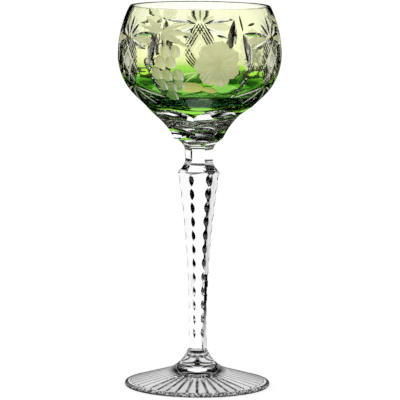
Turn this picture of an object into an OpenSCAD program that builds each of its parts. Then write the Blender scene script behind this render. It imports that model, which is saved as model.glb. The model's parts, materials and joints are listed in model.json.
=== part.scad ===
// Roemer wine glass: a clear crystal bowl cased in green, cut through to the clear glass,
// on a hexagonal cut stem and a star-cut foot.
// The axis of the glass is Z, the foot stands on z = 0 and the front of the glass faces -Y.
// Angles round the glass are measured from the front, positive towards +X.

/* [Bowl] */
// Height of the bowl, from its seat on the merese to the rim
bowl_h = 71.6; // [66:0.1:80]
// Outer diameter of the rim
rim_d = 75; // [68:0.5:80]
// Outer diameter of the belly, the widest ring
belly_d = 87.8; // [84:0.2:96]
// Height of the belly above the bowl's seat
belly_h = 45.1; // [43:0.1:50]
// Radius of the round flank under the belly
flank_r = 30; // [28:0.5:32]
// Angle below the belly at which the round flank runs out into a cone
flank_turn = 46.5; // [44:0.5:49]
// Wall at the rim, casing included
rim_wall = 1.5; // [1.4:0.1:2.4]
// Wall at the belly, casing included
belly_wall = 2.5; // [2.4:0.1:3.6]
// Radius of the cup's flank, rounder than the outside, so that the base is thick
cup_flank_r = 23.5; // [22:0.5:25]
// Angle below the belly at which the cup's flank runs into its low round floor
cup_turn = 72; // [66:1:76]

/* [Casing] */
// Thickness of the green casing over the clear bowl
casing_t = 0.6; // [0.4:0.1:0.9]

/* [Petal cuts] */
// Number of petal cuts round the foot of the bowl
petal_count = 6; // [6:1:8]
// Width across two opposite petals at the bowl's seat
petal_flats = 24.7; // [24:0.1:28]
// Height of the petals' tops above the bowl's seat
petal_h = 17.6; // [15:0.1:19]
// Radius of the wheel that grinds a petal
petal_wheel_r = 35.5; // [32:0.5:45]
// Direction of one petal's middle
petal_turn = 23; // [0:1:60]

/* [Merese] */
// Height of the merese, the wafer that joins bowl and stem
merese_h = 6.2; // [5:0.1:7]
// Diameter of the merese at the bowl's seat
merese_d = 22; // [20:0.1:23]
// Radius of the wheel that hollows each side of the merese
merese_wheel_r = 7.2; // [6.5:0.1:9]

/* [Stem] */
// Length of the stem, from the foot to the merese
stem_l = 108.6; // [100:0.1:125]
// Number of sides of the stem
stem_sides = 6; // [6:1:8]
// Width across flats of the neck under the merese
neck_flats = 13.2; // [12:0.1:14]
// Length of the neck's straight sides
neck_l = 4.6; // [3.5:0.1:6]
// Height of the shoulder, from its ridge to the neck
shoulder_h = 6.8; // [6:0.1:8]
// Diameter of the shoulder's ridge
shoulder_d = 23.4; // [22:0.1:26]
// Radius of the wheel that hollows each side of the shoulder
shoulder_wheel_r = 9; // [8.5:0.1:11]
// Width across flats at the waist, the narrowest place of the shaft
waist_flats = 8.5; // [7.5:0.1:9.5]
// Height of the waist above the foot
waist_h = 10.4; // [5:0.1:15]
// Radius of the long hollow ground along each side of the shaft
shaft_wheel_r = 650; // [600:10:750]
// Direction of one side of the shaft
shaft_turn = 9; // [-30:1:30]
// Direction of one side of the neck, the shoulder and the merese
neck_turn = -6; // [-30:1:30]

/* [Edge notches] */
// Number of notches along each edge of the shaft
notch_count = 12; // [8:1:14]
// Radius of the wheel that grinds a notch
notch_wheel_r = 8; // [5:0.5:10]
// Depth of the highest notch
notch_deep = 0.6; // [0.5:0.05:1]
// Depth of the lowest notch
notch_shallow = 0.35; // [0.3:0.05:0.5]
// Distance from the shoulder's ridge to the middle of the highest notch
notch_top_gap = 5.2; // [4.5:0.1:8]
// Distance from the foot to the middle of the lowest notch
notch_foot_gap = 9; // [6:0.1:14]

/* [Foot] */
// Diameter of the foot
foot_d = 78.4; // [72:0.2:90]
// Height of the foot, up to the stem
foot_h = 19.6; // [18:0.1:24]
// Thickness of the foot's rounded edge
foot_edge = 2.4; // [2:0.1:3.2]
// Diameter of the foot's top, where the stem stands
foot_top_d = 10.6; // [10.2:0.1:12]
// Diameter of the ring at which the foot's rising sweep starts
sweep_d = 33; // [28:0.5:38]
// Height of that ring
sweep_h = 8.7; // [7.5:0.1:9.5]
// Radius of the foot's rising sweep
sweep_r = 18.7; // [16:0.1:24]

/* [Star cut] */
// Number of rays of the star cut under the foot
star_rays = 40; // [32:2:44]
// Opening angle of each ray's groove
star_angle = 135; // [125:1:145]
// Width of the plain ring that the foot stands on
land_w = 3; // [2.4:0.1:5]
// Rise of the hollow underside from that ring to the middle
hollow_rise = 0.8; // [0.4:0.1:1.4]
// Diameter of the polished hollow in the middle of the star
pontil_d = 17; // [14:0.5:22]
// Depth of the polished hollow
pontil_depth = 1.4; // [1:0.1:2]

/* [Hidden] */
$fn = 160;
// Cuts reach this far past the glass that they take away
over = 2;

// Joints, from the foot up
stem_z = foot_h;
merese_z = stem_z + stem_l;
seat_z = merese_z + merese_h;
rim_z = seat_z + bowl_h;
belly_z = seat_z + belly_h;

// Centre of the circle of radius r through p and q, on the right of the way from p to q
function arc_centre(p, q, r) =
    let (d = q - p, half = norm(d) / 2)
    (p + q) / 2 + [d.y, -d.x] / norm(d) * sqrt(r * r - half * half);
// Radius of an upright arc that leaves the belly's radius and has drawn in by dr at height dz
function upright_r(dr, dz) = (dz * dz + dr * dr) / (2 * dr);
// Unit vector at an angle above the radial direction
function ray(a) = [cos(a), sin(a)];

// Outside of the bowl
belly_r = belly_d / 2;
shoulder_arc_r = upright_r(belly_r - rim_d / 2, rim_z - belly_z);
shoulder_c = [belly_r - shoulder_arc_r, belly_z];
flank_c = [belly_r - flank_r, belly_z];
flank_end = flank_c + flank_r * ray(-flank_turn);
petal_top_z = seat_z + petal_h;
petal_top = [flank_end.x - (flank_end.y - petal_top_z) * tan(flank_turn), petal_top_z];
petal_foot = [petal_flats / 2, seat_z];
petal_c = arc_centre(petal_foot, petal_top, petal_wheel_r);
// The blank's seat stands clear of the petals' corners, so that no casing is left on them
blank_seat_r = petal_flats / 2 / cos(180 / petal_count) + casing_t + 0.6;

// Inside of the bowl
cup_belly_r = belly_r - belly_wall;
cup_upper_r = upright_r(cup_belly_r - rim_d / 2 + rim_wall, rim_z - belly_z);
cup_upper_c = [cup_belly_r - cup_upper_r, belly_z];
cup_flank_c = [cup_belly_r - cup_flank_r, belly_z];
cup_flank_end = cup_flank_c + cup_flank_r * ray(-cup_turn);
cup_floor_c = [0, cup_flank_c.y + cup_flank_c.x * tan(cup_turn)];
cup_floor_r = cup_flank_r + cup_flank_c.x / cos(cup_turn);

// Stem
ridge_z = merese_z - neck_l - shoulder_h;
neck_z = merese_z - neck_l;
waist_z = stem_z + waist_h;
side_half = 180 / stem_sides;
// The shoulder's wheel leaves the neck just inside its flats, for a clean line between the two
shoulder_bite = 0.15;
shoulder_wheel_x = neck_flats / 2 - shoulder_bite + shoulder_wheel_r;
// The merese's wheel stands below the joint, so that both pieces share one outline there
merese_wheel_drop = 0.8;
merese_wheel_x = neck_flats / 2 + sqrt(pow(merese_wheel_r, 2) - pow(merese_wheel_drop, 2));
// Half width of the shaft across flats at height z, and the reach of its edges
function shaft_flat(z) =
    waist_flats / 2 + shaft_wheel_r - sqrt(pow(shaft_wheel_r, 2) - pow(z - waist_z, 2));
function shaft_edge(z) = min(shoulder_d / 2, shaft_flat(z) / cos(side_half));
notch_top_z = ridge_z - notch_top_gap;
notch_step = (notch_top_z - stem_z - notch_foot_gap) / (notch_count - 1);

// Foot
foot_r = foot_d / 2;
edge_r = foot_edge / 2;
sweep_foot = [sweep_d / 2, sweep_h];
sweep_top = [foot_top_d / 2, foot_h];
sweep_c = arc_centre(sweep_foot, sweep_top, sweep_r);
land_r = foot_r - edge_r - land_w;
pontil_r = pontil_d / 2;
// Grooves overlap a little, so that the ridges between them are sharp
star_overlap = 1.05;
// Depth of a groove for each millimetre from the axis
star_slope = star_overlap * tan(180 / star_rays) / tan(star_angle / 2);

// Pie slice of a circle, from angle a0 to a1, less than a right angle apart
module slice(c, r, a0, a1) {
    reach = 2 * r;
    intersection() {
        translate(c) circle(r);
        polygon([c, c + reach * ray(a0), c + reach * ray((a0 + a1) / 2), c + reach * ray(a1)]);
    }
}

// Turns what lies right of the axis of a half profile
module turned() {
    rotate_extrude() intersection() {
        children();
        square([belly_d, rim_z + over]);
    }
}

// Copies its child round the axis, the first one facing direction a
module around(count, a) {
    for (i = [0 : count - 1]) rotate(a - 90 + i * 360 / count) children();
}

// Grinding wheel across the radial direction, with its centre at radius x and height z
module wheel(x, z, r) {
    width = 2 * belly_d;
    translate([x, 0, z]) rotate([90, 0, 0]) cylinder(h = width, r = r, center = true, $fn = 360);
}

// Blown blank of the bowl before cutting, inset everywhere by the given thickness
module bowl_blank(inset) {
    upper_r = shoulder_arc_r - inset;
    rim_a = asin((rim_z - belly_z) / upper_r);
    rim = shoulder_c + upper_r * ray(rim_a);
    flank = flank_c + (flank_r - inset) * ray(-flank_turn);
    turned() {
        slice(shoulder_c, upper_r, 0, rim_a);
        slice(flank_c, flank_r - inset, -flank_turn, 0);
        polygon([
            [0, seat_z],
            [blank_seat_r - inset, seat_z],
            petal_top - inset * ray(-flank_turn),
            flank,
            [belly_r - inset, belly_z],
            rim,
            [0, rim_z]
        ]);
    }
}

// Room inside the bowl
module cup() {
    top_z = rim_z + over;
    top_a = asin((top_z - belly_z) / cup_upper_r);
    turned() {
        slice(cup_upper_c, cup_upper_r, 0, top_a);
        slice(cup_flank_c, cup_flank_r, -cup_turn, 0);
        slice(cup_floor_c, cup_floor_r, -90, -cup_turn);
        polygon([
            cup_floor_c - [0, cup_floor_r],
            cup_flank_end,
            [cup_belly_r, belly_z],
            cup_upper_c + cup_upper_r * ray(top_a),
            [0, top_z]
        ]);
    }
}

// Wheel cuts round the foot of the bowl
module petals() {
    around(petal_count, petal_turn) wheel(petal_c.x, petal_c.y, petal_wheel_r);
}

// Clear crystal cup with its solid base
module bowl() {
    color("whitesmoke") difference() {
        bowl_blank(casing_t);
        cup();
        petals();
    }
}

// Green layer over the bowl, ground away by the petals
module green_casing() {
    color("yellowgreen") difference() {
        bowl_blank(0);
        bowl_blank(casing_t);
        petals();
    }
}

// Wafer of glass that joins the bowl to the stem
module merese() {
    color("honeydew") difference() {
        translate([0, 0, merese_z]) cylinder(h = merese_h, d = merese_d);
        around(stem_sides, neck_turn)
            wheel(merese_wheel_x, merese_z - merese_wheel_drop, merese_wheel_r);
    }
}

// Flats of the neck, as slabs that reach from the shoulder up to the joint
module neck_flat_cuts() {
    around(stem_sides, neck_turn)
        translate([neck_flats / 2, -shoulder_d, neck_z])
            cube([shoulder_d, 2 * shoulder_d, neck_l + over]);
}

// Notches along every edge of the shaft
module edge_notches() {
    around(stem_sides, shaft_turn + side_half) for (i = [0 : notch_count - 1]) {
        z = notch_top_z - i * notch_step;
        depth = notch_deep + (notch_shallow - notch_deep) * i / (notch_count - 1);
        translate([shaft_edge(z) - depth + notch_wheel_r, 0, z]) rotate([90, 0, 0])
            cylinder(h = shoulder_d / 2, r = notch_wheel_r, center = true);
    }
}

// Hexagonal cut stem: neck, shoulder and notched shaft in one piece of glass
module stem() {
    color("white") difference() {
        translate([0, 0, stem_z]) cylinder(h = stem_l, d = shoulder_d);
        around(stem_sides, shaft_turn) wheel(waist_flats / 2 + shaft_wheel_r, waist_z, shaft_wheel_r);
        around(stem_sides, neck_turn) wheel(shoulder_wheel_x, neck_z, shoulder_wheel_r);
        neck_flat_cuts();
        edge_notches();
    }
}

// Turned body of the foot, with its hollow underside
module foot_blank() {
    turned() difference() {
        union() {
            translate([foot_r - edge_r, edge_r]) circle(edge_r);
            polygon([
                [0, hollow_rise],
                [land_r, 0],
                [foot_r - edge_r, 0],
                [foot_r - edge_r, foot_edge],
                sweep_foot,
                sweep_top,
                [0, foot_h]
            ]);
        }
        translate(sweep_c) circle(sweep_r);
    }
}

// One ray of the star, a V groove that deepens and widens away from the axis
module star_ray() {
    half_w = foot_edge * tan(star_angle / 2);
    tilt = atan(star_slope - hollow_rise / land_r);
    length = land_r / cos(tilt);
    translate([0, 0, hollow_rise]) rotate([0, 90 - tilt, 0]) rotate(90)
        translate([0, 0, pontil_r / 2]) linear_extrude(length - pontil_r / 2)
            polygon([[0, 0], [half_w, -foot_edge], [-half_w, -foot_edge]]);
}

// Star-cut foot
module foot() {
    color("white") difference() {
        foot_blank();
        translate([0, 0, -over]) cylinder(h = over + hollow_rise + pontil_depth, r = pontil_r);
        around(star_rays, 0) star_ray();
    }
}

bowl();
green_casing();
merese();
stem();
foot();
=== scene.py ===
"""Roemer glass: a green cased bowl cut through to clear crystal, on a cut stem and a star-cut foot.

Lengths are metres. Turns are degrees round the axis of the glass, from the front, which faces -Y,
towards +X. A rise is measured along the bowl's wall, upwards from its belly.
"""

import json
import logging
import math
from collections.abc import Callable, Sequence
from dataclasses import dataclass, field, replace
from enum import Enum
from itertools import pairwise

import bpy
from bpy.types import ColorRamp, Material, NodeSocket, Object, World
from mathutils import Matrix, Vector

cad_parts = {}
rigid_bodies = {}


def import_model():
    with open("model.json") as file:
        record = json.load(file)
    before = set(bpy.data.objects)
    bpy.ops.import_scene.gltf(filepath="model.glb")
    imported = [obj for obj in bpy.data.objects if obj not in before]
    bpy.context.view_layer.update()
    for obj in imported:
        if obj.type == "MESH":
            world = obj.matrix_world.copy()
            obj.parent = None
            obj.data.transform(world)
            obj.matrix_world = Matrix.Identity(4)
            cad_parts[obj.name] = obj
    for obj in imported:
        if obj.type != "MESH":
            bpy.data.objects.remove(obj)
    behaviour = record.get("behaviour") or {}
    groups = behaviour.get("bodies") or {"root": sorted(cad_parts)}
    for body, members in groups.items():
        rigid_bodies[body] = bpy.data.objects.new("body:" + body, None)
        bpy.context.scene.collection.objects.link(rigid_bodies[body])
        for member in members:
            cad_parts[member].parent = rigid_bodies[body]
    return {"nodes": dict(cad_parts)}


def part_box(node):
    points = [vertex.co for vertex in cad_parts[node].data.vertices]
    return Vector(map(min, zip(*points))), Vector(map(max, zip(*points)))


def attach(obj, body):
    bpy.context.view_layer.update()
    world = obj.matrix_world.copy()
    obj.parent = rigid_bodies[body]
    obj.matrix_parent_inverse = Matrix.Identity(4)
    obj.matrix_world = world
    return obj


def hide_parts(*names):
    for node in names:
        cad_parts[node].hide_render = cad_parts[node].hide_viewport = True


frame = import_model()

LOG = logging.getLogger("roemer_glass")
BODY = "root"
MM = 0.001
# The casing and the bowl bend light alike, so that the two act as one wall.
WALL_INDEX = 1.53
# Points of a turned piece that are closer than this become one.
WELD = 0.002 * MM
# Part of a spear cut's length at which it is deepest.
SPEAR_PEAK = 0.3
WHITE = (1.0, 1.0, 1.0, 1.0)
BLACK = (0.0, 0.0, 0.0, 1.0)

Colour = tuple[float, float, float, float]
Point = tuple[float, float]


class Wire:
    """A shader socket that takes part in Python arithmetic, one Math node for each operator."""

    def __init__(self, board: "Board", socket: NodeSocket) -> None:
        """Keeps the socket and the board that it is on."""
        self.board = board
        self.socket = socket

    def __add__(self, other: "Wire | float") -> "Wire":
        """Sum."""
        return self.board.math("ADD", self, other)

    def __sub__(self, other: "Wire | float") -> "Wire":
        """Difference."""
        return self.board.math("SUBTRACT", self, other)

    def __rsub__(self, other: float) -> "Wire":
        """Difference from a number on the left."""
        return self.board.math("SUBTRACT", other, self)

    def __mul__(self, other: "Wire | float") -> "Wire":
        """Product."""
        return self.board.math("MULTIPLY", self, other)

    def __lt__(self, other: "Wire | float") -> "Wire":
        """1 where this is less, otherwise 0."""
        return self.board.math("LESS_THAN", self, other)

    def __abs__(self) -> "Wire":
        """Size without its sign."""
        return self.board.math("ABSOLUTE", self)


class Board:
    """The node tree of a material or of the world."""

    def __init__(self, owner: Material | World) -> None:
        """Takes the owner's node tree and empties it.

        Args:
            owner: The material or the world.
        """
        owner.use_nodes = True
        self.tree = owner.node_tree
        self.tree.nodes.clear()

    def node(self, kind: str, settings: dict | None = None, inputs: dict | None = None,
             output: int | str = 0) -> Wire | None:
        """Adds one node.

        Args:
            kind: The node's type.
            settings: Properties that are set first; "stops" holds a ramp's places and colours.
            inputs: Values or wires by the socket's name or number.
            output: Name or number of the output that is returned.

        Returns:
            The chosen output, or None for a node that has none.
        """
        made = self.tree.nodes.new(kind)
        for name, value in (settings or {}).items():
            if name == "stops":
                self._set_stops(made.color_ramp, value)
            else:
                setattr(made, name, value)
        for key, value in (inputs or {}).items():
            if isinstance(value, Wire):
                self.tree.links.new(value.socket, made.inputs[key])
            else:
                made.inputs[key].default_value = value
        return Wire(self, made.outputs[output]) if made.outputs else None

    @staticmethod
    def _set_stops(ramp: ColorRamp, stops: Sequence[tuple[float, Colour]]) -> None:
        """Gives a colour ramp its stops.

        Args:
            ramp: The ramp.
            stops: Places and colours, from the lowest place up.
        """
        while len(ramp.elements) < len(stops):
            ramp.elements.new(1.0)
        for element, (place, colour) in zip(ramp.elements, stops):
            element.position = place
            element.color = colour

    def math(self, operation: str, *values: Wire | float) -> Wire:
        """Adds a Math node on the given values."""
        return self.node("ShaderNodeMath", {"operation": operation}, dict(enumerate(values)))

    def place(self) -> Wire:
        """Object coordinates of the shaded point."""
        return self.node("ShaderNodeTexCoord", output="Object")

    def axes(self) -> tuple[Wire, Wire, Wire]:
        """Object coordinates as three values."""
        split = self.node("ShaderNodeSeparateXYZ", inputs={0: self.place()}).socket.node
        return tuple(Wire(self, output) for output in split.outputs)

    def ray(self, kind: str) -> Wire:
        """1 for a ray of the named kind, otherwise 0."""
        return self.node("ShaderNodeLightPath", output=kind)

    def noise(self, grain: float, detail: float = 2.0) -> Wire:
        """Noise from 0 to 1 whose features are about one grain across."""
        return self.node("ShaderNodeTexNoise", inputs={
            "Vector": self.place(), "Scale": 1 / grain, "Detail": detail})

    def bump(self, height: Wire, depth: float) -> Wire:
        """Surface normal bent by a height, of which 1 stands for the given depth."""
        return self.node("ShaderNodeBump", inputs={"Height": height, "Distance": depth, "Strength": 1.0})

    def reach(self, across: Wire, along: Wire) -> Wire:
        """Length of a way that goes so far across and so far along."""
        return self.math("SQRT", across * across + along * along)

    def step(self, value: Wire, start: float, end: float) -> Wire:
        """Straight ramp from 0 at the start to 1 at the end."""
        return self.node("ShaderNodeMapRange", inputs={0: value, 1: start, 2: end})

    def past(self, value: Wire, bound: float, soft: float) -> Wire:
        """Smooth step from 0 below a bound to 1 above it."""
        return self.node("ShaderNodeMapRange", {"interpolation_type": "SMOOTHSTEP"},
                         {0: value, 1: bound - soft, 2: bound + soft})

    def between(self, value: Wire, start: float, end: float, soft: float) -> Wire:
        """1 between two bounds and 0 outside them, with soft steps."""
        return self.past(value, start, soft) * (1 - self.past(value, end, soft))

    def blend(self, share: Wire, first: Colour, second: Colour) -> Wire:
        """Colour between two, by the share of the second."""
        return self.node("ShaderNodeMix", {"data_type": "RGBA"},
                         {0: share, 6: first, 7: second}, output=2)


def new_material(name: str, shader: Callable[[Board], Wire]) -> Material:
    """Makes a material.

    Args:
        name: The material's name.
        shader: Adds the shader to the material's node tree and returns it.

    Returns:
        The material.
    """
    made = bpy.data.materials.new(name)
    board = Board(made)
    board.node("ShaderNodeOutputMaterial", inputs={"Surface": shader(board)})
    return made


@dataclass(frozen=True)
class Seam:
    """A level face where two pieces of glass are fused, so that light passes as through one piece."""

    height: float
    flats: float | None = None
    sides: int = 6
    turn: float = 0.0
    tolerance: float = 0.02 * MM

    def mask(self, board: Board) -> Wire:
        """1 on the seam and 0 elsewhere.

        Args:
            board: Node tree that the mask is added to.

        Returns:
            The mask, limited to a polygon of the given width across flats if there is one.
        """
        x, y, z = board.axes()
        mask = abs(z - self.height) < self.tolerance
        if self.flats is None:
            return mask
        for side in range(self.sides // 2):
            angle = math.radians(self.turn + side * 360 / self.sides)
            mask = mask * (abs(x * math.sin(angle) - y * math.cos(angle)) < self.flats / 2)
        return mask


@dataclass(frozen=True)
class StarFlats:
    """The flats of the star cut, through which the white table shows with little bending."""

    rays: int = 40
    inner: float = 12 * MM
    outer: float = 35.8 * MM
    height: float = 1.9 * MM
    share: float = 0.8
    line_start: float = 0.35 * MM
    line_end: float = 1.0 * MM

    def mask(self, board: Board) -> Wire:
        """Share of the light that passes unbent: most of it on the flats, none along the grooves.

        Args:
            board: Node tree that the mask is added to.

        Returns:
            The share.
        """
        x, y, z = board.axes()
        radius = board.reach(x, y)
        turn = board.math("ARCTAN2", x, y * -1.0)
        aside = abs(board.math("SINE", turn * (self.rays / 2))) * radius * (2 / self.rays)
        ring = (radius < self.outer) * (1 - (radius < self.inner)) * (z < self.height)
        return ring * board.step(aside, self.line_start, self.line_end) * self.share


@dataclass(frozen=True)
class ClearCrystal:
    """Polished clear lead crystal, with the faint ripple that polishing leaves."""

    tint: Colour = (0.975, 0.985, 0.975, 1.0)
    index: float = 1.62
    ripple_grain: float = 5 * MM
    ripple_depth: float = 0.012 * MM
    haze: float = 0.012
    ground_from: float | None = None
    ground_grain: float = 0.9 * MM
    ground_detail: float = 3.0
    ground_depth: float = 0.16 * MM
    ground_rough: float = 0.30
    # Near-black tint of the specks on the ground rim: painted shade, not a colour of the glass.
    ground_shade_tint: Colour = (0.008, 0.009, 0.008, 1.0)
    shade_speck_start: float = 0.34
    shade_speck_end: float = 0.52
    clear_faces: tuple[Seam | StarFlats, ...] = ()

    def colour(self, board: Board) -> Wire | Colour:
        """Colour of the polished glass, the same all over."""
        return self.tint

    def shader(self, board: Board) -> Wire:
        """Glass that is ground beyond a given radius, if any, darkened there in grey specks as painted
        shade, and lets light pass its clear faces.

        Args:
            board: Node tree that the shader is added to.

        Returns:
            The shader.
        """
        ripple = board.noise(self.ripple_grain)
        rough = ripple * self.haze
        relief = ripple * self.ripple_depth
        colour = self.colour(board)
        if self.ground_from is not None:
            x, y, _ = board.axes()
            ground = 1 - (board.reach(x, y) < self.ground_from)
            grain = board.noise(self.ground_grain, self.ground_detail)
            rough = rough + ground * self.ground_rough
            relief = relief + ground * grain * self.ground_depth
            # Painted shade: dark grey specks on the ground rim stand in for the dark surroundings that
            # its grain scatters.
            shade_speck = board.step(grain, self.shade_speck_start, self.shade_speck_end)
            colour = board.blend(ground * shade_speck, self.tint, self.ground_shade_tint)
        glass = board.node("ShaderNodeBsdfPrincipled", inputs={
            "Base Color": colour,
            "Transmission Weight": 1.0,
            "IOR": self.index,
            "Roughness": rough,
            "Normal": board.bump(relief, 1.0)})
        for face in self.clear_faces:
            clear = board.node("ShaderNodeBsdfTransparent")
            glass = board.node("ShaderNodeMixShader", inputs={0: face.mask(board), 1: glass, 2: clear})
        return glass

    def material(self, name: str) -> Material:
        """Makes the crystal's material."""
        return new_material(name, self.shader)


@dataclass(frozen=True)
class GreenGlass(ClearCrystal):
    """Green casing, thin and pale at the rim and deeper in colour towards the foot of the bowl, with a
    near-black band low on the bowl painted as shade.
    """

    index: float = WALL_INDEX
    ripple_grain: float = 6 * MM
    foot: float = 0.0
    rim: float = 1.0
    # Colours by height; the near-black stops at 0.28 and 0.335 are painted shade, a dark band standing in
    # for the dark that the bent light shows there.
    shades_with_shadow_band: tuple[tuple[float, Colour], ...] = (
        (0.250, (0.085, 0.530, 0.005, 1.0)),
        (0.280, (0.0004, 0.008, 0.001, 1.0)),
        (0.335, (0.0008, 0.014, 0.001, 1.0)),
        (0.365, (0.040, 0.320, 0.009, 1.0)),
        (0.420, (0.085, 0.480, 0.013, 1.0)),
        (0.480, (0.170, 0.590, 0.020, 1.0)),
        (0.530, (0.720, 0.860, 0.260, 1.0)),
        (0.595, (0.900, 0.945, 0.460, 1.0)),
        (0.720, (0.960, 0.980, 0.600, 1.0)),
        (1.000, (0.990, 1.000, 0.700, 1.0)))
    cloud_grain: float = 14 * MM
    cloud_share: float = 0.04

    def colour(self, board: Board) -> Wire:
        """Shade of green by height, with a painted dark band and a faint cloudiness.

        Args:
            board: Node tree that the shade is added to.

        Returns:
            The colour.
        """
        height = (board.axes()[2] - self.foot) * (1 / (self.rim - self.foot))
        cloud = (board.noise(self.cloud_grain) - 0.5) * self.cloud_share
        return board.node("ShaderNodeValToRGB", {"stops": self.shades_with_shadow_band}, {0: height + cloud})


@dataclass(frozen=True)
class FrostedCut:
    """Cut left matt from the stone: its grain scatters most of the light, and the rest passes.

    More light passes from inside the glass, because what falls on a ground face from outside comes
    through it. A shallow cut bends the light that passes, and a narrow one leaves it unbent.
    """

    tint: Colour = (0.80, 0.81, 0.44, 1.0)
    bare_tint: Colour = (0.98, 0.98, 0.74, 1.0)
    index: float = WALL_INDEX
    clear_share: float = 0.08
    bare_share: float = 0.15
    inside_share: float = 0.75
    bare_rough: float = 0.10
    narrow: bool = False
    grain: float = 0.3 * MM
    grain_detail: float = 4.0
    grain_depth: float = 0.03 * MM
    least_rough: float = 0.34
    more_rough: float = 0.20

    def colour(self, board: Board) -> Wire | Colour:
        """Colour of the matt surface, the same all over."""
        return self.tint

    def shader(self, board: Board) -> Wire:
        """Matt surface with a share that light passes.

        Args:
            board: Node tree that the shader is added to.

        Returns:
            The shader.
        """
        grain = board.noise(self.grain, self.grain_detail)
        matt = board.node("ShaderNodeBsdfPrincipled", inputs={
            "Base Color": self.colour(board),
            "Transmission Weight": self.clear_share,
            "IOR": self.index,
            "Roughness": grain * self.more_rough + self.least_rough,
            "Normal": board.bump(grain, self.grain_depth)})
        if self.narrow:
            bare = board.node("ShaderNodeBsdfTransparent", inputs={"Color": self.bare_tint})
        else:
            bare = board.node("ShaderNodeBsdfRefraction", inputs={
                "Color": self.bare_tint, "Roughness": self.bare_rough, "IOR": self.index})
        inside = board.node("ShaderNodeNewGeometry", output="Backfacing")
        share = inside * (self.inside_share - self.bare_share) + self.bare_share
        return board.node("ShaderNodeMixShader", inputs={0: share, 1: matt, 2: bare})

    def material(self, name: str) -> Material:
        """Makes the material of a matt cut."""
        return new_material(name, self.shader)


@dataclass(frozen=True)
class GradedCut(FrostedCut):
    """Matt cut painted darker green towards the bowl's base, as shade of the dimmer green light that
    reaches its lower part.
    """

    # Darker green that the lowest grapes are painted with, as shade.
    shaded_low_tint: Colour = (0.20, 0.56, 0.06, 1.0)
    high: float = 0.0
    low: float = -1.0

    def colour(self, board: Board) -> Wire:
        """Colour that runs from the tint at the upper height to the painted shade tint at the lower one.
        """
        share = board.step(board.axes()[2], self.low, self.high)
        return board.blend(share, self.shaded_low_tint, self.tint)


@dataclass(frozen=True)
class StreakedLeaf(FrostedCut):
    """Matt vine leaf whose stone strokes run out from its middle, streaked in colour as painted light and
    shade of those strokes.
    """

    turn: float = 0.0
    height: float = 0.0
    radius: float = 1.0
    panels: int = 3
    clear_share: float = 0.05
    bare_share: float = 0.12
    tint: Colour = (0.80, 0.82, 0.33, 1.0)
    # Pale tint of the streaks: painted light on the stone strokes.
    pale: Colour = (1.0, 1.0, 0.62, 1.0)
    strokes: float = 14.0
    stroke_length: float = 9 * MM
    streak_detail: float = 3.0
    streak_start: float = 0.34
    streak_end: float = 0.66

    def colour(self, board: Board) -> Wire:
        """Painted light and shade: streaks between two tints, round the middle of the leaf of each panel.

        Args:
            board: Node tree that the streaks are added to.

        Returns:
            The colour.
        """
        x, y, z = board.axes()
        turn = board.math("ARCTAN2", x, y * -1.0) - math.radians(self.turn)
        half = math.pi / self.panels
        aside = board.math("WRAP", turn, half, -half) * self.radius
        up = z - self.height
        way = board.math("ARCTAN2", up, aside) * self.strokes
        reach = board.reach(aside, up) * (1 / self.stroke_length)
        line = board.node("ShaderNodeCombineXYZ", inputs={0: way, 1: reach})
        painted_streak = board.node("ShaderNodeTexNoise", inputs={
            "Vector": line, "Scale": 1.0, "Detail": self.streak_detail})
        return board.blend(board.step(painted_streak, self.streak_start, self.streak_end), self.tint, self.pale)


@dataclass(frozen=True)
class FusedFace:
    """Face between two pieces that are fused together, where light passes unbent."""

    def material(self, name: str) -> Material:
        """Makes the clear material of a fused face."""
        return new_material(name, lambda board: board.node("ShaderNodeBsdfTransparent"))


class Finish(Enum):
    """What a cut's surface is left as."""

    POLISHED = "clear_crystal"
    FROSTED = "frosted_cut"
    SATIN = "satin_cut"
    STREAKED = "streaked_leaf"
    PALE = "pale_cut"
    THINNED = "thinned_casing"


class Taper(Enum):
    """How a stroke's depth runs from its start to its end."""

    LENS = "lens"
    SPEAR = "spear"

    def share(self, t: float) -> float:
        """Share of the full depth at a part t of the way along the stroke."""
        spear = min(t / SPEAR_PEAK, (1 - t) / (1 - SPEAR_PEAK))
        return spear if self is Taper.SPEAR else 1 - (2 * t - 1) ** 2


def deselect_all() -> None:
    """Leaves nothing selected, in object mode."""
    bpy.ops.object.select_all(action="DESELECT")
    bpy.context.view_layer.objects.active = None


def arc(centre: Point, radius: float, start: float, end: float, steps: int) -> list[Point]:
    """Points of an arc.

    Args:
        centre: Centre of the arc, as radius and height.
        radius: Radius of the arc.
        start: First angle above the radial direction, in degrees.
        end: Last angle.
        steps: Number of steps between the two.

    Returns:
        The points, both ends included.
    """
    angles = [math.radians(start + (end - start) * i / steps) for i in range(steps + 1)]
    return [(centre[0] + radius * math.cos(a), centre[1] + radius * math.sin(a)) for a in angles]


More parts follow.
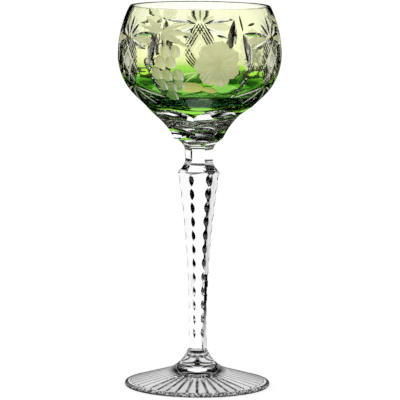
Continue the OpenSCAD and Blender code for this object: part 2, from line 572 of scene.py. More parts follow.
def lathe(name: str, profile: Sequence[Point], closed: bool, steps: int) -> Object:
    """Turns a half profile round the axis of the glass.

    Args:
        name: Name of the new object.
        profile: Points as radius and height.
        closed: Whether the last point joins the first.
        steps: Steps of the full turn.

    Returns:
        The turned object.
    """
    deselect_all()
    bpy.ops.mesh.primitive_plane_add(size=MM)
    piece = bpy.context.object
    piece.name = name
    piece.data.name = name
    bpy.ops.object.mode_set(mode="EDIT")
    bpy.ops.mesh.select_mode(type="VERT")
    bpy.ops.mesh.select_all(action="SELECT")
    bpy.ops.mesh.merge(type="CENTER")
    bpy.ops.transform.translate(value=(profile[0][0], 0, profile[0][1]))
    loop = [*profile, profile[0]] if closed else profile
    for (r0, z0), (r1, z1) in pairwise(loop):
        bpy.ops.mesh.extrude_region_move(TRANSFORM_OT_translate={"value": (r1 - r0, 0, z1 - z0)})
    bpy.ops.mesh.select_all(action="SELECT")
    bpy.ops.mesh.spin(steps=steps, angle=math.tau, center=(0, 0, 0), axis=(0, 0, 1))
    bpy.ops.mesh.select_all(action="SELECT")
    bpy.ops.mesh.remove_doubles(threshold=WELD)
    bpy.ops.mesh.normals_make_consistent(inside=False)
    bpy.ops.object.mode_set(mode="OBJECT")
    return piece


@dataclass(frozen=True)
class Spot:
    """A place on the bowl's outer wall."""

    turn: float
    rise: float


@dataclass
class BowlForm:
    """Shape of the blown bowl before cutting, on the CAD's own sizes."""

    seat: float = field(default_factory=lambda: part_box("bowl")[0].z)
    rim: float = field(default_factory=lambda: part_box("bowl")[1].z)
    belly_radius: float = field(default_factory=lambda: max(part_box("green_casing")[1][:2]))
    merese_radius: float = field(default_factory=lambda: max(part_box("merese")[1][:2]))
    belly_rise: float = 45.1 * MM
    rim_radius: float = 37.5 * MM
    flank_radius: float = 30 * MM
    flank_turn: float = 46.5
    rim_wall: float = 1.5 * MM
    belly_wall: float = 2.5 * MM
    cup_flank: float = 23.5 * MM
    cup_turn: float = 72.0
    casing: float = 0.6 * MM
    lip: float = 0.4 * MM
    lip_steps: int = 4
    petal_count: int = 6
    petal_flats: float = 24.7 * MM
    petal_rise: float = 17.6 * MM
    petal_wheel: float = 35.5 * MM
    petal_turn: float = 23.0
    seat_margin: float = 1.2 * MM
    arc_steps: int = 18
    turn_steps: int = 256

    def __post_init__(self) -> None:
        """Works out the arcs of the outer wall and of the cup."""
        self.belly = self.seat + self.belly_rise
        self.shoulder = self.upright(self.belly_radius - self.rim_radius)
        self.flank_centre = self.belly_radius - self.flank_radius
        self.flank_length = self.flank_radius * math.radians(self.flank_turn)
        end_z = self.belly - self.flank_radius * math.sin(math.radians(self.flank_turn))
        end_r = self.flank_centre + self.flank_radius * math.cos(math.radians(self.flank_turn))
        self.flank_end = (end_r, end_z)
        top_z = self.seat + self.petal_rise
        self.petal_top = (end_r - (end_z - top_z) * math.tan(math.radians(self.flank_turn)), top_z)
        corner = self.petal_flats / 2 / math.cos(math.pi / self.petal_count)
        self.blank_seat = corner + self.seat_margin

    def upright(self, draw_in: float) -> float:
        """Radius of an arc that leaves the belly upright and has drawn in by so much at the rim."""
        height = self.rim - self.belly
        return (height ** 2 + draw_in ** 2) / (2 * draw_in)

    def outside(self, inset: float = 0.0) -> list[Point]:
        """Half profile of the outer wall, from the seat up to the rim.

        Args:
            inset: How far inside the outer wall the profile lies.

        Returns:
            Points as radius and height.
        """
        lean = math.radians(self.flank_turn)
        top_r, top_z = self.petal_top
        upper = self.shoulder - inset
        rim_angle = math.degrees(math.asin((self.rim - self.belly) / upper))
        flank = arc((self.flank_centre, self.belly), self.flank_radius - inset, -self.flank_turn, 0,
                    self.arc_steps)
        wall = arc((self.belly_radius - self.shoulder, self.belly), upper, 0, rim_angle,
                   self.arc_steps)
        foot = (self.blank_seat - inset, self.seat)
        bend = (top_r - inset * math.cos(lean), top_z + inset * math.sin(lean))
        return [foot, bend, *flank, *wall[1:]]

    def cup(self) -> list[Point]:
        """Half profile of the room inside, from the rim down to the middle of its floor.

        Returns:
            Points as radius and height.
        """
        belly_radius = self.belly_radius - self.belly_wall
        upper = self.upright(belly_radius - self.rim_radius + self.rim_wall)
        rim_angle = math.degrees(math.asin((self.rim - self.belly) / upper))
        turn = math.radians(self.cup_turn)
        side_centre = belly_radius - self.cup_flank
        floor_centre = (0.0, self.belly + side_centre * math.tan(turn))
        floor = self.cup_flank + side_centre / math.cos(turn)
        wall = arc((belly_radius - upper, self.belly), upper, rim_angle, 0, self.arc_steps)
        side = arc((side_centre, self.belly), self.cup_flank, 0, -self.cup_turn, self.arc_steps)
        bottom = arc(floor_centre, floor, -self.cup_turn, -90, self.arc_steps)
        return [*wall, *side[1:], *bottom[1:-1], (0.0, bottom[-1][1])]

    def rise(self, height: float) -> float:
        """Rise along the wall of a height above the belly."""
        radius = self.shoulder if height > 0 else self.flank_radius
        return radius * math.asin(height / radius)

    def section(self, rise: float) -> tuple[Point, float]:
        """Where a rise lies on the half profile.

        Args:
            rise: Length along the wall above the belly.

        Returns:
            The point as radius and height, and the wall's slope as an angle of its normal.
        """
        if rise >= 0:
            angle = rise / self.shoulder
            centre = self.belly_radius - self.shoulder
            return (centre + self.shoulder * math.cos(angle),
                    self.belly + self.shoulder * math.sin(angle)), angle
        angle = max(rise / self.flank_radius, -math.radians(self.flank_turn))
        past = min(rise + self.flank_length, 0.0)
        return (self.flank_centre + self.flank_radius * math.cos(angle) - past * math.sin(angle),
                self.belly + self.flank_radius * math.sin(angle) + past * math.cos(angle)), angle

    def stand(self, spot: Spot) -> tuple[Vector, Vector]:
        """Where a spot lies in space.

        Args:
            spot: The spot on the outer wall.

        Returns:
            The spot's point, and the wall's outward normal there.
        """
        (radius, height), slope = self.section(spot.rise)
        turn = math.radians(spot.turn)
        out = Vector((math.sin(turn), -math.cos(turn), 0))
        normal = out * math.cos(slope) + Vector((0, 0, math.sin(slope)))
        return out * radius + Vector((0, 0, height)), normal

    def moved(self, spot: Spot, right: float, up: float) -> Spot:
        """The spot a given way to the right and up along the wall."""
        radius = self.section(spot.rise + up / 2)[0][0]
        return Spot(spot.turn + math.degrees(right / radius), spot.rise + up)


@dataclass(frozen=True)
class Stroke:
    """One cut of the V-edged wheel, along a line on the wall."""

    line: tuple[Spot, ...]
    depth: float
    opening: float
    taper: Taper = Taper.LENS
    finish: Finish = Finish.POLISHED
    stations: int = 14

    def spot(self, t: float) -> Spot:
        """Place on a smooth curve through the line's spots.

        Args:
            t: Part of the way along, from 0 to 1.

        Returns:
            The place.
        """
        count = len(self.line) - 1
        index = min(int(t * count), count - 1)
        part = t * count - index
        first, second = self.line[index], self.line[index + 1]
        before = self.line[index - 1] if index else first
        after = self.line[index + 2] if index + 2 <= count else second
        weights = (
            (-part + 2 * part ** 2 - part ** 3) / 2,
            (2 - 5 * part ** 2 + 3 * part ** 3) / 2,
            (part + 4 * part ** 2 - 3 * part ** 3) / 2,
            (part ** 3 - part ** 2) / 2)
        spots = (before, first, second, after)
        return Spot(sum(w * s.turn for w, s in zip(weights, spots)),
                    sum(w * s.rise for w, s in zip(weights, spots)))


@dataclass(frozen=True)
class Relief:
    """A shallow lobed hollow whose floor is ridged by strokes that run out from its middle."""

    middle: Spot
    inner: float = 10.7 * MM
    outer: float = 12.8 * MM
    lobes: int = 7
    lobe_power: float = 0.8
    lean: float = 80.0
    deep: float = 0.45 * MM
    floor_power: float = 2.5
    ridge: float = 0.13 * MM
    vein_power: float = 24.0
    vein_gain: float = 1.6
    teeth: int = 21
    tooth: float = 0.6 * MM
    spokes: int = 200
    rings: int = 7
    last_ring: float = 1.08
    clearance: float = 2.5 * MM
    finish: Finish = Finish.STREAKED

    def shares(self) -> list[float]:
        """Parts of the reach at which the rings lie, the last one past the outline."""
        return [*((i + 1) / self.rings for i in range(self.rings)), self.last_ring]

    def lobe(self, angle: float) -> float:
        """1 at the tip of a lobe and 0 between two lobes."""
        return abs(math.cos((angle - math.radians(self.lean)) * self.lobes / 2))

    def reach(self, angle: float) -> float:
        """Distance from the middle to the outline in a direction."""
        edge = 1 - abs(math.sin((angle - math.radians(self.lean)) * self.teeth / 2))
        return (self.inner + (self.outer - self.inner) * self.lobe(angle) ** self.lobe_power
                + self.tooth * edge)

    def depth(self, angle: float, share: float) -> float:
        """Depth of the floor.

        Args:
            angle: Direction from the middle.
            share: Part of the way to the outline.

        Returns:
            The depth, with the strokes and the veins in it.
        """
        stroke = round(angle * self.spokes / math.tau) // 2 % 2
        vein = self.lobe(angle) ** self.vein_power
        floor = self.deep * (1 - share ** self.floor_power)
        ridges = self.ridge * stroke + self.vein_gain * self.ridge * vein
        return floor + ridges * (1 - share) * min(1, 4 * share)


class CutterRack:
    """The wheels and stones of the cutter's shop, as solids that are taken out of the bowl."""

    clearance: float = 0.6 * MM
    run_out: float = 0.04 * MM
    smooth_angle: float = 22.0
    wheel_sides: int = 256
    stone_segments: int = 28
    stone_rings: int = 16

    def __init__(self, form: BowlForm, finishes: dict[Finish, Material]) -> None:
        """Starts an empty rack.

        Args:
            form: The bowl that is cut.
            finishes: Material of each finish that a cut leaves.
        """
        self.form = form
        self.finishes = finishes
        self.shelf = bpy.data.collections.new("cutters")
        bpy.context.scene.collection.children.link(self.shelf)

    def keep(self, cutter: Object, finish: Finish) -> None:
        """Puts a cutter on the shelf.

        Args:
            cutter: The solid that is taken away.
            finish: The finish that it leaves.
        """
        for home in list(cutter.users_collection):
            home.objects.unlink(cutter)
        self.shelf.objects.link(cutter)
        cutter.data.materials.clear()
        cutter.data.materials.append(self.finishes[finish])

    def shape(self, name: str, points: Sequence[Vector], faces: Sequence[tuple[int, ...]],
              finish: Finish) -> None:
        """Puts a cutter on the shelf that is written out as a mesh.

        Args:
            name: The cutter's name.
            points: Its points.
            faces: Its faces, by the points' numbers.
            finish: The finish that it leaves.
        """
        mesh = bpy.data.meshes.new(name)
        mesh.from_pydata(points, [], faces)
        mesh.validate()
        self.keep(bpy.data.objects.new(name, mesh), finish)

    def stroke(self, stroke: Stroke) -> None:
        """Adds the solid that one stroke of a V-edged wheel takes away.

        No operator sweeps a section whose depth changes along a curved wall, so this one mesh is
        written out: at each station an edge below the wall and two edges clear of it.

        Args:
            stroke: The cut's line, depth, opening and finish.
        """
        slope = math.tan(math.radians(stroke.opening / 2))
        stands = [self.form.stand(stroke.spot(i / stroke.stations)) for i in range(stroke.stations + 1)]
        points: list[Vector] = []
        for i, (point, normal) in enumerate(stands):
            ahead = stands[min(i + 1, stroke.stations)][0] - stands[max(i - 1, 0)][0]
            side = ahead.cross(normal).normalized()
            depth = stroke.depth * stroke.taper.share(i / stroke.stations) - self.run_out
            reach = side * (depth + self.clearance) * slope
            points += [point - normal * depth,
                       point + normal * self.clearance + reach,
                       point + normal * self.clearance - reach]
        faces: list[tuple[int, ...]] = [(0, 1, 2)]
        for first in range(0, 3 * stroke.stations, 3):
            for a, b in ((0, 1), (1, 2), (2, 0)):
                faces.append((first + b, first + a, first + a + 3, first + b + 3))
        last = 3 * stroke.stations
        faces.append((last, last + 2, last + 1))
        self.shape("stroke", points, faces, stroke.finish)

    def olive(self, spot: Spot, size: Vector, lift: float, lean: float, finish: Finish) -> None:
        """Adds the hollow of a round-edged stone.

        Args:
            spot: Middle of the hollow.
            size: Half axes to the right, up along the wall and outwards.
            lift: Height of the stone's middle above the wall.
            lean: Turn of the hollow in the wall, in degrees, clockwise from upright.
            finish: What the hollow's surface is left as.
        """
        point, normal = self.form.stand(spot)
        turn = math.radians(spot.turn)
        right = Vector((math.cos(turn), math.sin(turn), 0))
        up = normal.cross(right)
        basis = Matrix((right, up, normal)).transposed() @ Matrix.Rotation(-math.radians(lean), 3, "Z")
        deselect_all()
        bpy.ops.mesh.primitive_uv_sphere_add(
            segments=self.stone_segments, ring_count=self.stone_rings, radius=1)
        stone = bpy.context.object
        stone.matrix_world = (Matrix.Translation(point + normal * lift) @ basis.to_4x4()
                              @ Matrix.Diagonal((*size, 1)))
        self.keep(stone, finish)

    def relief(self, relief: Relief) -> None:
        """Adds the solid that a hollow with a ridged floor takes away.

        Args:
            relief: The hollow's middle, outline, depth and finish.
        """
        form = self.form
        point, normal = form.stand(relief.middle)
        points = [point - normal * relief.depth(0.0, 0.0), point + normal * relief.clearance]
        for share in relief.shares():
            for spoke in range(relief.spokes):
                angle = math.tau * spoke / relief.spokes
                reach = relief.reach(angle) * share
                spot = form.moved(relief.middle, reach * math.cos(angle), reach * math.sin(angle))
                point, normal = form.stand(spot)
                depth = -relief.clearance if share > 1 else relief.depth(angle, share) - self.run_out
                points.append(point - normal * depth)
        faces: list[tuple[int, ...]] = []
        last = 2 + (len(relief.shares()) - 1) * relief.spokes
        for spoke in range(relief.spokes):
            after = (spoke + 1) % relief.spokes
            faces.append((0, 2 + after, 2 + spoke))
            faces.append((1, last + spoke, last + after))
            for ring in range(2, last, relief.spokes):
                faces.append((ring + spoke, ring + after, ring + relief.spokes + after,
                              ring + relief.spokes + spoke))
        self.shape("relief", points, faces, relief.finish)

    def petals(self) -> None:
        """Adds the wheels that grind the six petals round the foot of the bowl."""
        form = self.form
        foot = Vector((form.petal_flats / 2, form.seat))
        top = Vector(form.petal_top)
        way = top - foot
        square = Vector((way.y, -way.x)).normalized()
        centre = (foot + top) / 2 + square * math.sqrt(form.petal_wheel ** 2 - (way.length / 2) ** 2)
        for i in range(form.petal_count):
            turn = math.radians(form.petal_turn + i * 360 / form.petal_count)
            deselect_all()
            bpy.ops.mesh.primitive_cylinder_add(
                vertices=self.wheel_sides, radius=form.petal_wheel, depth=4 * form.petal_wheel,
                location=(centre.x * math.sin(turn), -centre.x * math.cos(turn), centre.y),
                rotation=(0, math.pi / 2, turn))
            self.keep(bpy.context.object, Finish.POLISHED)

    def cut(self, piece: Object) -> None:
        """Takes everything on the shelf out of a piece.

        Args:
            piece: The blank that is cut.
        """
        deselect_all()
        piece.select_set(True)
        bpy.context.view_layer.objects.active = piece
        tool = piece.modifiers.new("cuts", "BOOLEAN")
        tool.operation = "DIFFERENCE"
        tool.operand_type = "COLLECTION"
        tool.collection = self.shelf
        tool.solver = "MANIFOLD"
        tool.material_mode = "TRANSFER"
        bpy.ops.object.modifier_apply(modifier=tool.name)
        bpy.ops.object.shade_smooth_by_angle(angle=math.radians(self.smooth_angle))

    def clear(self) -> None:
        """Throws the cutters away."""
        for cutter in list(self.shelf.objects):
            bpy.data.meshes.remove(cutter.data)
        bpy.data.collections.remove(self.shelf)


@dataclass
class Panel:
    """One panel of the cut pattern, with heights above the belly, depths and half axes in millimetres."""

    form: BowlForm
    rack: CutterRack
    turn: float

    def spot(self, turn: float, height: float) -> Spot:
        """Spot at a turn from the panel's middle and at a height."""
        return Spot(self.turn + turn, self.form.rise(height * MM))

    def line(self, *places: Point) -> tuple[Spot, ...]:
        """Spots at the given turns and heights."""
        return tuple(self.spot(turn, height) for turn, height in places)

    def stroke(self, line: tuple[Spot, ...], depth: float, opening: float,
               taper: Taper = Taper.LENS, finish: Finish = Finish.POLISHED) -> None:
        """Cuts one stroke of the V-edged wheel."""
        self.rack.stroke(Stroke(line, depth * MM, opening, taper, finish))

    def olive(self, spot: Spot, size: tuple[float, float, float], lift: float, lean: float,
              finish: Finish) -> None:
        """Hollows one spot with a round-edged stone of the given half axes."""
        self.rack.olive(spot, Vector(size) * MM, lift * MM, lean, finish)

    def ray(self, start: Spot, angle: float, reach: Point, depth: float, opening: float,
            finish: Finish) -> None:
        """Cuts a straight stroke away from a spot.

        Args:
            start: The spot that the stroke points away from.
            angle: Direction, in degrees above the way to the right.
            reach: Distances in metres from the spot to the stroke's start and to its end.
            depth: Depth of the stroke.
            opening: Angle between its sides.
            finish: What its surface is left as.
        """
        across, up = math.cos(math.radians(angle)), math.sin(math.radians(angle))
        ends = tuple(self.form.moved(start, across * far, up * far) for far in reach)
        self.stroke(ends, depth, opening, finish=finish)


@dataclass
class DiamondPanel(Panel):
    """Panel of crossed cuts between two fans, with swags beside it and mitres at its sides."""

    fan_cuts: int = 7
    fan_step: float = 19.0
    fan_foot: float = 2.4 * MM
    fan_length: float = 12.5 * MM
    fan_fall: float = 0.25
    fan_height: float = 10.2
    lower_height: float = -15.0
    lower_foot: float = 1.5 * MM
    lower_rays: tuple[Point, ...] = ((17, 22), (34, 18), (52, 16), (78, 14))
    middle_height: float = -1.5
    half_width: float = 9.0
    half_height: float = 13.5
    hatch_lean: float = 55.0
    hatch_lines: int = 6
    hatch_first: float = 3.6
    hatch_step: float = 1.45
    least_chord: float = 0.02

    def fan(self) -> None:
        """Cuts the fan of narrow strokes that opens upwards at the top."""
        apex = self.spot(0, self.fan_height)
        middle = (self.fan_cuts - 1) / 2
        for i in range(self.fan_cuts):
            aside = abs(i - middle) / middle
            reach = (self.fan_foot, self.fan_length * (1 - self.fan_fall * aside))
            finish = Finish.POLISHED if i % 2 else Finish.PALE
            angle = 90 + (i - middle) * self.fan_step
            self.ray(apex, angle, reach, depth=0.8, opening=100, finish=finish)

    def lower_fan(self) -> None:
        """Cuts the fan of long strokes that opens downwards at the bottom."""
        apex = self.spot(0, self.lower_height)
        for i, (angle, length) in enumerate(self.lower_rays):
            reach = (self.lower_foot, length * MM)
            finish = Finish.POLISHED if i % 2 else Finish.PALE
            for way in (angle, 180 - angle):
                self.ray(apex, -way, reach, depth=0.55, opening=96, finish=finish)

    def swags(self) -> None:
        """Cuts the lenses that hang from the fan to both sides, with a matt kite between them."""
        for side in (-1, 1):
            upper = self.line((3 * side, 11.2), (15 * side, 13.0), (27 * side, 13.8))
            lower = self.line((3.5 * side, 10.0), (12 * side, 7.4), (20 * side, 5.6))
            kite = self.line((5 * side, 10.6), (25 * side, 9.6))
            self.stroke(upper, depth=0.8, opening=116)
            self.stroke(lower, depth=0.5, opening=140)
            self.stroke(kite, depth=0.5, opening=158, finish=Finish.FROSTED)

    def mitres(self) -> None:
        """Cuts the long mitres that part the panel from its neighbours, each with a lower branch."""
        for side in (-1, 1):
            upper = self.line((27.6 * side, 13.9), (24.0 * side, 3.5), (22.0 * side, -7.6))
            lower = self.line((23.4 * side, -7.6), (26.6 * side, -13.6), (33.2 * side, -20.4))
            self.stroke(upper, depth=1.25, opening=124)
            self.stroke(lower, depth=0.9, opening=112)

    def hatch(self) -> None:
        """Crosses the panel with strokes that leave one large diamond in its middle."""
        centre = self.spot(0, self.middle_height)
        for lean in (-self.hatch_lean, self.hatch_lean):
            along = Vector((math.cos(math.radians(lean)), math.sin(math.radians(lean))))
            across = Vector((-along.y, along.x))
            for i in range(self.hatch_lines):
                depth, finish = (0.45, Finish.POLISHED) if i else (0.6, Finish.PALE)
                for sign in (-1, 1):
                    offset = sign * (self.hatch_first + self.hatch_step * i)
                    ends = self.chord(along, across * offset)
                    if ends:
                        line = tuple(self.form.moved(centre, end.x * MM, end.y * MM) for end in ends)
                        self.stroke(line, depth, opening=104, finish=finish)

    def chord(self, along: Vector, start: Vector) -> tuple[Vector, ...]:
        """Ends of a line's way through the panel's upright ellipse.

        Args:
            along: Direction of the line.
            start: A point of the line.

        Returns:
            The two ends, or nothing where the line misses the ellipse.
        """
        a = (along.x / self.half_width) ** 2 + (along.y / self.half_height) ** 2
        b = start.x * along.x / self.half_width ** 2 + start.y * along.y / self.half_height ** 2
        c = (start.x / self.half_width) ** 2 + (start.y / self.half_height) ** 2 - 1
        room = b * b - a * c
        if room <= self.least_chord * a:
            return ()
        root = math.sqrt(room)
        return start + along * ((-b - root) / a), start + along * ((-b + root) / a)

    def middle(self) -> None:
        """Hollows the large diamond in the middle."""
        self.olive(self.spot(0, self.middle_height), (2.5, 3.5, 1.5), 0.5, 0, Finish.PALE)


@dataclass
class GrapePanel(Panel):
    """Panel with a bunch of grapes on its left and a vine leaf on its right."""

    leaf_turn: float = 12.8
    leaf_height: float = -2.0
    slim_middle: Point = (-28.5, 15.0)
    slim_tips: tuple[tuple[float, float, float], ...] = (
        (-46.5, 22.6, 155), (-51, 17.6, 140), (-44.6, 13.8, 140), (-10, 19.4, 140),
        (-4.5, 13.6, 152), (-6.4, 6.3, 155), (-23, 5, 140))
    stalk_lines: tuple[tuple[Point, Point], ...] = (
        ((-31, 12.5), (-33, 3)), ((-27.5, 11), (-25, 1.5)), ((-22.5, 11), (-19, 1)),
        ((27.4, 16.5), (25.2, 8.2)), ((12, 13.4), (20, 11.6)), ((-12, 12.8), (-7, 11.8)))
    bunch: tuple[Point, ...] = (
        (-24.5, 4.8), (-17.6, 4.6), (-28.4, -1.0), (-20.6, -0.9), (-31.6, -7.2), (-23.6, -8.0),
        (-15.4, -7.8), (-28.6, -13.2), (-21.4, -14.4), (-15.0, -13.0), (-22.2, -19.0))

    def broad_leaf(self) -> None:
        """Grinds the lobed vine leaf, ridged by fine matt strokes that run out from its middle."""
        self.rack.relief(Relief(self.spot(self.leaf_turn, self.leaf_height)))

    def window(self) -> None:
        """Hollows the yellow patch under the leaf, with a lens that runs out of it to the right."""
        lens = self.line((1.0, -14.6), (7.5, -15.6), (14.0, -16.6))
        self.stroke(lens, depth=0.55, opening=150, finish=Finish.THINNED)
        self.olive(self.spot(-6.9, -14.2), (9.6, 3.6, 1.5), 0.5, 4, Finish.THINNED)

    def slim_leaf(self) -> None:
        """Cuts the vine leaf of pointed matt lobes over the grapes."""
        middle = self.spot(*self.slim_middle)
        for turn, height, opening in self.slim_tips:
            self.stroke((middle, self.spot(turn, height)), 0.55, opening, Taper.SPEAR, Finish.FROSTED)

    def stalks(self) -> None:
        """Cuts slim polished strokes: the stalks of the grapes and the tendrils beside the leaves."""
        for ends in self.stalk_lines:
            self.stroke(self.line(*ends), depth=0.6, opening=104)

    def grapes(self) -> None:
        """Hollows the grapes, each with a pale gleam at its right."""
        for place in self.bunch:
            grape = self.spot(*place)
            gleam = self.form.moved(grape, 1.9 * MM, -0.4 * MM)
            self.olive(grape, (3.3, 3.9, 1.5), 0.5, -10, Finish.SATIN)
            self.olive(gleam, (0.95, 2.8, 1.6), 0.3, -14, Finish.PALE)


@dataclass
class CutPattern:
    """The wheel cuts round the bowl: three panels of grapes and leaves, three of cut diamonds."""

    form: BowlForm
    panels: int = 3

    def carve(self, rack: CutterRack) -> None:
        """Puts the cutters of the whole pattern on the rack.

        Args:
            rack: The rack for this bowl.
        """
        for panel in range(self.panels):
            turn = panel * 360 / self.panels
            vine = GrapePanel(self.form, rack, turn)
            diamonds = DiamondPanel(self.form, rack, turn + 180 / self.panels)
            for cut in (vine.broad_leaf, vine.window, diamonds.fan, diamonds.lower_fan,
                        diamonds.swags, diamonds.mitres, diamonds.hatch, vine.slim_leaf,
                        vine.stalks, vine.grapes, diamonds.middle):
                cut()


@dataclass
class Bowl:
    """The clear bowl and the green casing that is fused over it, both cut with one pattern."""

    form: BowlForm
    crystal: Material
    green: Material
    fused: Material
    pattern: CutPattern
    least_facing: float = 0.3
    touch: float = 0.01 * MM
    grape_high: float = -4 * MM
    grape_low: float = -20 * MM

    def build(self) -> list[Object]:
        """Turns both pieces and cuts them.

        Returns:
            The clear bowl and its casing.
        """
        steps = self.form.turn_steps
        bowl = lathe("cut_bowl", self.bowl_profile(), False, steps)
        casing = lathe("cut_casing", self.casing_profile(), True, steps)
        self.paint(bowl, self.crystal,
                   lambda facing, middle: facing > self.least_facing or self.seated(middle))
        self.paint(casing, self.green, lambda facing, middle: facing < -self.least_facing)
        rack = CutterRack(self.form, self.finishes())
        rack.petals()
        self.pattern.carve(rack)
        for piece in (bowl, casing):
            rack.cut(piece)
        rack.clear()
        return [bowl, casing]

    def finishes(self) -> dict[Finish, Material]:
        """Materials that the cuts leave.

        Returns:
            The polished crystal, and the matt kinds, by finish.
        """
        form = self.form
        matt = {
            Finish.FROSTED: FrostedCut(),
            # Satin grapes, painted darker green towards the base as shade.
            Finish.SATIN: GradedCut(
                tint=(0.96, 0.98, 0.46, 1.0), clear_share=0.15, bare_share=0.12,
                high=form.belly + self.grape_high, low=form.belly + self.grape_low),
            Finish.PALE: FrostedCut(
                tint=(1.0, 1.0, 0.84, 1.0), clear_share=0.03, bare_share=0.06, narrow=True),
            Finish.THINNED: FrostedCut(
                tint=(0.96, 1.0, 0.28, 1.0), bare_tint=(0.48, 0.94, 0.10, 1.0),
                clear_share=0.0, bare_share=0.10, inside_share=0.9),
            Finish.STREAKED: StreakedLeaf(
                turn=GrapePanel.leaf_turn, height=form.belly + GrapePanel.leaf_height * MM,
                radius=form.belly_radius, panels=self.pattern.panels)}
        made = {finish: kind.material(finish.value) for finish, kind in matt.items()}
        return {Finish.POLISHED: self.crystal, **made}

    def bowl_profile(self) -> list[Point]:
        """Half profile of the clear bowl, from the axis under it to the axis in its cup.

        Returns:
            Points as radius and height.
        """
        form = self.form
        cup = form.cup()
        lip_level = form.rim - form.lip
        under = [(0.0, form.seat), (form.merese_radius, form.seat)]
        lip = arc((cup[0][0] + form.lip, lip_level), form.lip, 90, 180, form.lip_steps)
        below = [point for point in cup if point[1] < lip_level]
        return [*under, *form.outside(form.casing), *lip, *below]

    def casing_profile(self) -> list[Point]:
        """Half profile of the casing: up its outside, over the rim and down its inside.

        Returns:
            Points as radius and height.
        """
        form = self.form
        lip_level = form.rim - form.lip
        outer = [point for point in form.outside() if point[1] < lip_level]
        lip = arc((form.rim_radius - form.lip, lip_level), form.lip, 0, 90, form.lip_steps)
        return [*outer, *lip, *reversed(form.outside(form.casing))]

    def seated(self, middle: Vector) -> bool:
        """Whether a face with the given middle lies on the merese."""
        return middle.z < self.form.seat + self.touch and middle.xy.length < self.form.merese_radius

    def paint(self, piece: Object, glass: Material,
              is_fused: Callable[[float, Vector], bool]) -> None:
        """Gives a turned blank its glass, and its fused faces theirs.

        Args:
            piece: The blank.
            glass: Material of the open faces.
            is_fused: Test on how far a face looks away from the axis, and on the face's middle.
        """
        piece.data.materials.append(glass)
        piece.data.materials.append(self.fused)
        for face in piece.data.polygons:
            middle = face.center
            away = Vector((middle.x, middle.y, 0)).normalized()
            face.material_index = int(is_fused(face.normal.dot(away), middle))

    def dress(self, pieces: Sequence[Object]) -> None:
        """Puts the pieces in the place of their CAD nodes.

        Args:
            pieces: The clear bowl and its casing.
        """
        for piece, node, slot in zip(pieces, ("bowl", "green_casing"), ("clear_crystal", "green_glass")):
            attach(piece, BODY)
            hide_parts(node)
            LOG.info("%s: %d faces", piece.name, len(piece.data.polygons))


@dataclass
class ClearPieces:
    """Merese, stem and foot, which keep their CAD shapes and get the crystal's finish."""

    crystal: ClearCrystal
    margin: float = 0.05 * MM
    ground_from: float = 37.8 * MM

    def foot_joint(self) -> Seam:
        """The face between stem and foot, on the stem's own outline there.

        Returns:
            The face.
        """
        stem = frame["nodes"]["stem"]
        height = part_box("stem")[0].z
        ring = [v.co for v in stem.data.vertices if v.co.z < height + self.margin]
        corner = max(ring, key=lambda point: point.xy.length)
        half_side = math.pi / 6
        turn = math.degrees(math.atan2(corner.x, -corner.y)) + math.degrees(half_side)
        return Seam(height, 2 * corner.xy.length * math.cos(half_side), turn=turn)

    def dress(self) -> None:
        """Gives each piece its crystal, clear at the faces where it is fused to the next."""
        foot_joint = self.foot_joint()
        neck_joint = Seam(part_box("merese")[0].z)
        bowl_joint = Seam(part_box("merese")[1].z)
        clear_faces = {"merese": (neck_joint, bowl_joint), "stem": (Seam(foot_joint.height), neck_joint),
                       "foot": (foot_joint, StarFlats())}
        for node, faces in clear_faces.items():
            # Only the foot is ground at its rim, and its grain there is darkened in specks as painted
            # shade.
            ground = self.ground_from if node == "foot" else None
            crystal = replace(self.crystal, ground_from=ground, clear_faces=faces)
            material = crystal.material(f"{node}_crystal")
            for slot in frame["nodes"][node].material_slots:
                slot.material = material
            LOG.info("%s: crystal", node)


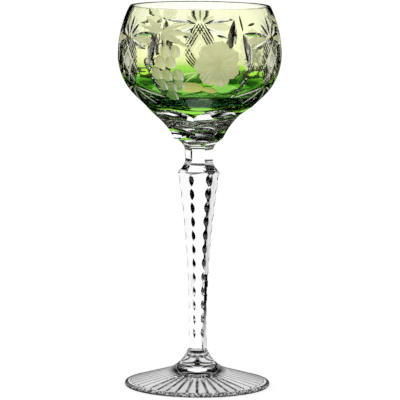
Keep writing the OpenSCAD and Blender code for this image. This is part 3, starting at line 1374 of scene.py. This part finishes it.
@dataclass
class Studio:
    """Pale floor, white surround with dark cards that draw the edges of the glass, and the camera."""

    camera_spot: Vector = field(default_factory=lambda: Vector((0.75 * MM, -1.7, 0.311)))
    camera_tilt: float = 7.04
    camera_roll: float = 0.45
    lens: float = 286.1
    sensor: float = 36.0
    clip_end: float = 100.0
    floor_half: float = 8.0
    floor_colour: Colour = (0.30, 0.30, 0.30, 1.0)
    floor_lift: float = 0.73
    backdrop: float = 1.18
    bounces: int = 9
    clear_bounces: int = 24
    tent_radius: float = 1.0
    tent_steps: int = 96
    card_lift: float = 0.2 * MM
    aisles: int = 4
    aisle_half: float = 0.012
    aisle_spread: float = 0.058
    aisle_soft: float = 0.012
    bulged_spread: float = 0.30
    bulge_from: float = 0.19
    bulge_to: float = 0.54
    bulge_soft: float = 0.02
    far_gains: tuple[float, float] = (0.15, 0.06)
    far_from: float = 0.945
    far_soft: float = 0.025
    bare_inner: float = 0.012
    bare_outer: float = 0.035
    bare_soft: float = 0.003
    # Ring under the foot's rim that is darkened as painted contact shadow.
    contact_shade_from: float = 0.0368
    contact_shade_to: float = 0.0392
    contact_shade_soft: float = 0.0004
    contact_shade_share: float = 0.8
    ring_low: float = 0.42
    ring_high: float = 0.93
    ring_soft: float = 0.05

    def build(self) -> None:
        """Sets up the whole studio."""
        self.clear_start_scene()
        self.build_camera()
        self.build_world()
        self.build_floor()
        self.build_tent()
        scene = bpy.context.scene
        scene.view_settings.view_transform = "Standard"
        scene.cycles.max_bounces = self.bounces
        scene.cycles.transmission_bounces = self.bounces
        scene.cycles.glossy_bounces = self.bounces
        scene.cycles.transparent_max_bounces = self.clear_bounces

    def clear_start_scene(self) -> None:
        """Removes the start scene's cube, lamp and camera."""
        for name in ("Cube", "Light", "Camera"):
            found = bpy.data.objects.get(name)
            if found is not None:
                bpy.data.objects.remove(found)

    def build_camera(self) -> None:
        """Places the camera as the photo was taken: far off, a little above the rim."""
        data = bpy.data.cameras.new("camera")
        data.lens = self.lens
        data.sensor_width = self.sensor
        data.clip_end = self.clip_end
        camera = bpy.data.objects.new("camera", data)
        bpy.context.scene.collection.objects.link(camera)
        look = Matrix.Rotation(math.radians(90 - self.camera_tilt), 4, "X")
        roll = Matrix.Rotation(math.radians(self.camera_roll), 4, "Z")
        camera.matrix_world = Matrix.Translation(self.camera_spot) @ look @ roll
        bpy.context.scene.camera = camera

    def build_world(self) -> None:
        """Lights the studio evenly with white."""
        world = bpy.data.worlds.new("white_surround")
        board = Board(world)
        lift = self.seen_in_glass(board) * (self.backdrop - 1) + 1
        light = board.node("ShaderNodeBackground", inputs={0: WHITE, 1: lift})
        board.node("ShaderNodeOutputWorld", inputs={0: light})
        bpy.context.scene.world = world

    @staticmethod
    def seen_in_glass(board: Board) -> Wire:
        """1 for a ray that glass has mirrored or let through, otherwise 0."""
        return board.math("MAXIMUM", board.ray("Is Glossy Ray"), board.ray("Is Transmission Ray"))

    def build_floor(self) -> None:
        """Lays the pale floor."""
        deselect_all()
        bpy.ops.mesh.primitive_plane_add(size=2 * self.floor_half)
        floor = bpy.context.object
        floor.name = "studio_floor"
        floor.data.materials.append(new_material("pale_floor", self.floor_shader))

    def floor_shader(self, board: Board) -> Wire:
        """Pale floor, lifted to white for the camera and where glass shows it.

        Args:
            board: Node tree that the shader is added to.

        Returns:
            The shader.
        """
        matt = board.node("ShaderNodeBsdfDiffuse", inputs={0: self.floor_colour})
        seen = (board.ray("Is Camera Ray") * self.floor_lift
                + self.seen_in_glass(board) * (self.floor_lift + self.backdrop - 1))
        lift = board.node("ShaderNodeEmission", inputs={0: WHITE, 1: seen})
        return board.node("ShaderNodeAddShader", inputs={0: matt, 1: lift})

    def build_tent(self) -> None:
        """Stands dark cards round the glass and on the floor, which only gloss and glass show."""
        material = new_material("black_card", self.card_shader)
        deselect_all()
        bpy.ops.mesh.primitive_uv_sphere_add(
            segments=self.tent_steps, ring_count=self.tent_steps // 2, radius=self.tent_radius)
        wall = bpy.context.object
        wall.name = "dark_wall_cards"
        deselect_all()
        bpy.ops.mesh.primitive_circle_add(
            vertices=self.tent_steps, radius=self.tent_radius, fill_type="NGON",
            location=(0, 0, self.card_lift))
        mat = bpy.context.object
        mat.name = "dark_floor_cards"
        for card in (wall, mat):
            card.data.materials.append(material)
            card.visible_camera = False
            card.visible_diffuse = False
            card.visible_shadow = False

    def card_shader(self, board: Board) -> Wire:
        """Black with white aisles that cross under the glass, so that every side has its own backdrop,
        and a dark ring under the foot's rim as painted contact shadow.

        Args:
            board: Node tree that the shader is added to.

        Returns:
            The shader.
        """
        x, y, z = board.axes()
        radius = board.reach(x, y)
        far = board.past(radius, self.far_from, self.far_soft)
        bulge = board.between(radius, self.bulge_from, self.bulge_to, self.bulge_soft)
        main_spread = bulge * (self.bulged_spread - self.aisle_spread) + self.aisle_spread
        spreads = (main_spread, self.aisle_spread)
        dark = board.past(radius, self.bare_outer, self.bare_soft)
        for aisle in range(self.aisles):
            angle = math.pi * aisle / self.aisles
            half = radius * spreads[aisle % 2] + far * self.far_gains[aisle % 2] + self.aisle_half
            aside = abs(x * math.cos(angle) + y * math.sin(angle)) - half
            dark = dark * board.past(aside, 0.0, self.aisle_soft)
        middle = 1 - board.past(radius, self.bare_inner, self.bare_soft)
        dark = board.math("MAXIMUM", dark, middle)
        # Painted contact shadow: a dark ring on the floor cards under the foot's rim, which only glass
        # shows.
        edge = board.between(radius, self.contact_shade_from, self.contact_shade_to, self.contact_shade_soft)
        dark = board.math("MAXIMUM", dark, edge * self.contact_shade_share)
        height = z * (1 / self.tent_radius)
        low = board.past(height, self.ring_low, self.ring_soft)
        high = board.past(height, self.ring_high, self.ring_soft)
        dark = board.math("MAXIMUM", dark * (1 - low), low * (1 - high))
        dark = board.math("MAXIMUM", dark, board.ray("Is Reflection Ray"))
        clear = board.node("ShaderNodeBsdfTransparent")
        black = board.node("ShaderNodeEmission", inputs={0: BLACK})
        return board.node("ShaderNodeMixShader", inputs={0: dark, 1: clear, 2: black})


def main() -> None:
    """Builds the studio and the glass, piece by piece."""
    logging.basicConfig(level=logging.INFO, format="%(message)s")
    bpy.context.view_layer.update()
    Studio().build()
    form = BowlForm()
    bowl = Bowl(
        form,
        ClearCrystal(index=WALL_INDEX).material(Finish.POLISHED.value),
        GreenGlass(foot=form.seat, rim=form.rim).material("green_glass"),
        FusedFace().material("fused_face"),
        CutPattern(form))
    bowl.dress(bowl.build())
    ClearPieces(ClearCrystal()).dress()


if __name__ == "__main__":
    main()
